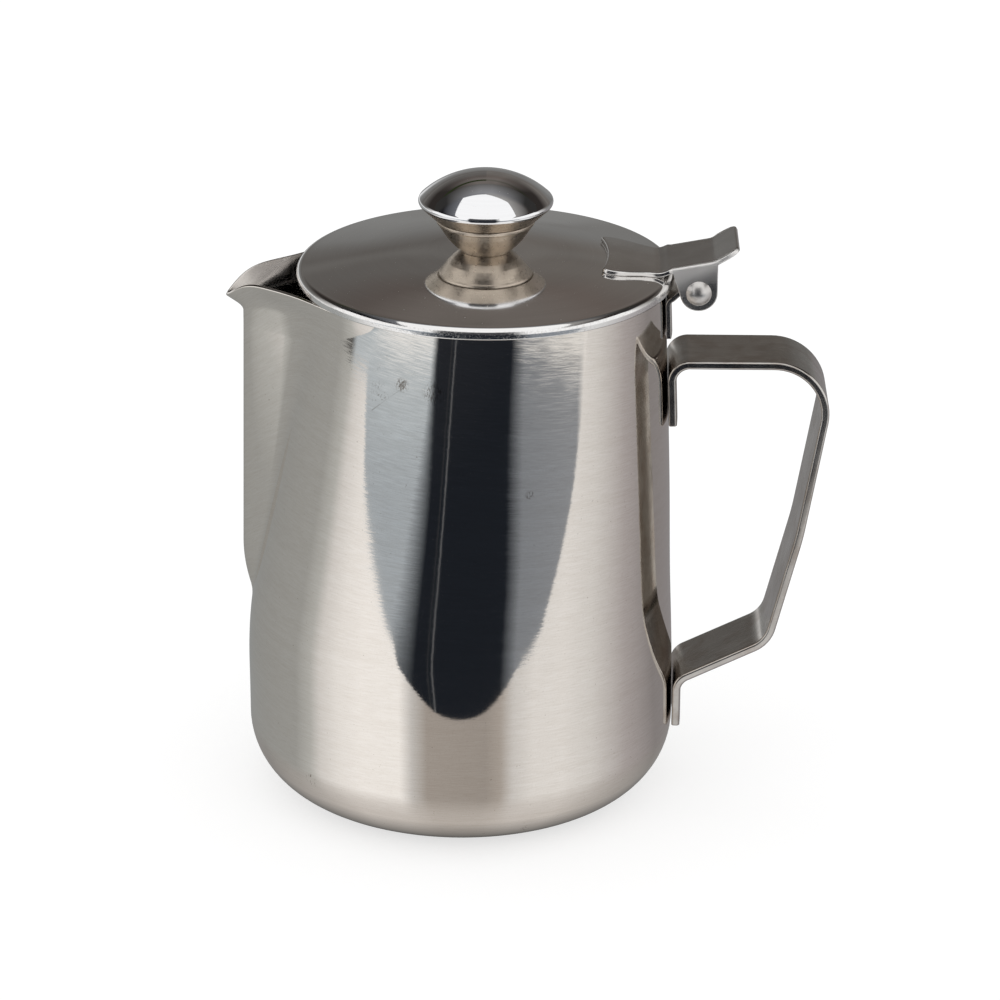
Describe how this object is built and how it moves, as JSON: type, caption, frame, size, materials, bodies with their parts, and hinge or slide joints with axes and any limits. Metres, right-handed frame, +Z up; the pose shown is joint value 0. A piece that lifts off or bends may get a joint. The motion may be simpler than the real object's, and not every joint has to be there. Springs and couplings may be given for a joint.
{
  "type": "milk jug with lid",
  "caption": "Stainless steel milk jug with a pressed spout, a bent strip handle, and a hinged lid with a thumb lever and a knob.",
  "frame": {"origin": "centre of the jug's flat underside, on the plane it stands on", "axes": "+Z up; +X towards the handle, so the spout points along -X; +Y towards the side that the picture doesn't show"},
  "size_m": [0.1459, 0.1048, 0.1577],
  "materials": {
    "body_steel": "satin",
    "handle_steel": "satin",
    "lid_steel": "polished",
    "lever_steel": "satin",
    "cap_steel": "polished",
    "cast_steel": "satin",
    "fastener_steel": "satin"
  },
  "bodies": {
    "jug": {"jug_body": "body_steel", "handle": "handle_steel", "hinge_bracket": "handle_steel"},
    "lid": {"lid": "lid_steel", "thumb_lever": "lever_steel", "hinge_rivet": "fastener_steel", "knob_cap": "cap_steel", "knob_base": "cast_steel", "knob_nut": "fastener_steel", "knob_screw": "fastener_steel", "knob_washer": "fastener_steel"}
  },
  "joints": [
    {"name": "lid_hinge", "type": "hinge", "parent": "jug", "child": "lid", "pos_m": [0.0564, 0, 0.13079], "axis": [0, 1, 0], "range_deg": [0, 110]}
  ]
}
